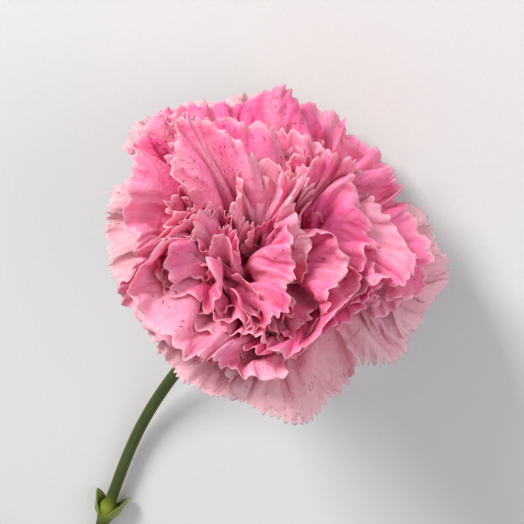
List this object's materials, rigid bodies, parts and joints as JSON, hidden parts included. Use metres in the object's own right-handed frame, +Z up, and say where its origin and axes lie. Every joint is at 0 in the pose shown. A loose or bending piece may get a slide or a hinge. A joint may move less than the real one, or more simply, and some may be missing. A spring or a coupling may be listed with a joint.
{
  "type": "cut carnation",
  "caption": "Cut pink carnation with a full ruffled double bloom on a slender jointed stem, lying on its side",
  "frame": {"origin": "centre of the bottom of the bounding box, on the surface that the flower lies on", "axes": "X along the length from the cut end of the stem to the bloom, Y across, Z up"},
  "size_m": [0.24, 0.1038, 0.0715],
  "materials": {
    "guard_petal": "matte",
    "petal": "matte",
    "calyx": "matte",
    "bract": "matte",
    "pistil": "matte",
    "stem": "matte",
    "leaf": "matte"
  },
  "bodies": {
    "root": {"guard_petal_1": "guard_petal", "guard_petal_2": "guard_petal", "guard_petal_3": "guard_petal", "guard_petal_4": "guard_petal", "guard_petal_5": "guard_petal", "guard_petal_6": "guard_petal", "guard_petal_7": "guard_petal", "guard_petal_8": "guard_petal", "petal_09": "petal", "petal_10": "petal", "petal_11": "petal", "petal_12": "petal", "petal_13": "petal", "petal_14": "petal", "petal_15": "petal", "petal_16": "petal", "petal_17": "petal", "petal_18": "petal", "petal_19": "petal", "petal_20": "petal", "petal_21": "petal", "petal_22": "petal", "petal_23": "petal", "petal_24": "petal", "petal_25": "petal", "petal_26": "petal", "petal_27": "petal", "petal_28": "petal", "petal_29": "petal", "petal_30": "petal", "petal_31": "petal", "petal_32": "petal", "petal_33": "petal", "petal_34": "petal", "petal_35": "petal", "petal_36": "petal", "petal_37": "petal", "petal_38": "petal", "petal_39": "petal", "petal_40": "petal", "petal_41": "petal", "petal_42": "petal", "petal_43": "petal", "petal_44": "petal", "calyx": "calyx", "bract_1": "bract", "bract_2": "bract", "bract_3": "bract", "bract_4": "bract", "pistil": "pistil", "stem": "stem", "short_leaf_1": "leaf", "short_leaf_2": "leaf", "long_leaf_1": "leaf", "long_leaf_2": "leaf"}
  },
  "joints": []
}
